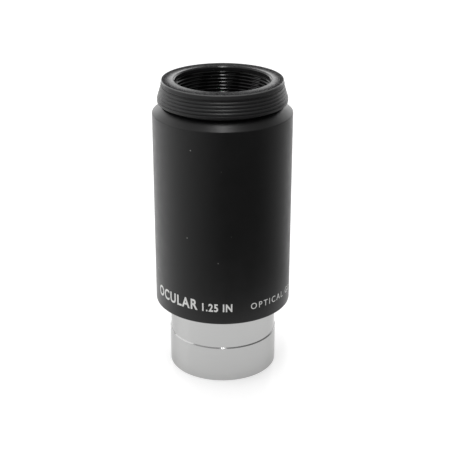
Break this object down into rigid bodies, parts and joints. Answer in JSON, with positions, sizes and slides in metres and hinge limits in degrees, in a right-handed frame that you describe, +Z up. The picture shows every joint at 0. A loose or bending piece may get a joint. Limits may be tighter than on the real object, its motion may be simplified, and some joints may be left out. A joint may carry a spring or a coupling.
{
  "type": "telescope eyepiece",
  "caption": "Long black-bodied telescope eyepiece with a plated push-fit nosepiece, two cemented lens pairs and a fold-down rubber eyecup.",
  "frame": {"origin": "centre of the nosepiece's open end, the plane the eyepiece stands on", "axes": "+Z up along the optical axis towards the observer's eye; the body is round, so +X and +Y are only fixed by the printed line, whose focal length faces -Y"},
  "size_m": [0.0396, 0.0396, 0.0871],
  "materials": {
    "plated_nosepiece": "bright plated, polished",
    "black_anodised": "satin black anodised, fine turned grain",
    "blackened_rings": "matt black, anti-reflection",
    "eyecup_rubber": "matt moulded rubber",
    "coated_glass": "polished optical glass with a thin coating"
  },
  "bodies": {
    "nosepiece": {"nosepiece": "plated_nosepiece"},
    "field_stop": {"field_stop": "blackened_rings"},
    "housing": {"housing": "black_anodised", "retaining_ring": "blackened_rings", "field_flint": "coated_glass", "field_crown": "coated_glass", "lens_spacer": "blackened_rings", "eye_crown": "coated_glass", "eye_flint": "coated_glass", "eyecup_base": "eyecup_rubber", "eyecup_skirt": "eyecup_rubber"},
    "eyecup": {"eyecup_lip": "eyecup_rubber"}
  },
  "joints": [
    {"name": "nosepiece_unscrew", "type": "hinge", "parent": "nosepiece", "child": "field_stop", "pos_m": [0, 0, 0.0207], "axis": [0, 0, 1], "range_deg": [0, 1800]},
    {"name": "nosepiece_travel", "type": "slide", "parent": "field_stop", "child": "housing", "axis": [0, 0, 1], "range_m": [0, 0.0038]},
    {"name": "eyecup_raise", "type": "slide", "parent": "housing", "child": "eyecup", "axis": [0, 0, 1], "range_m": [0, 0.01], "deforming": ["eyecup_skirt"]}
  ],
  "couplings": [
    {"joint": "nosepiece_travel", "follows": "nosepiece_unscrew", "m_per_rad": 0.00011937}
  ]
}
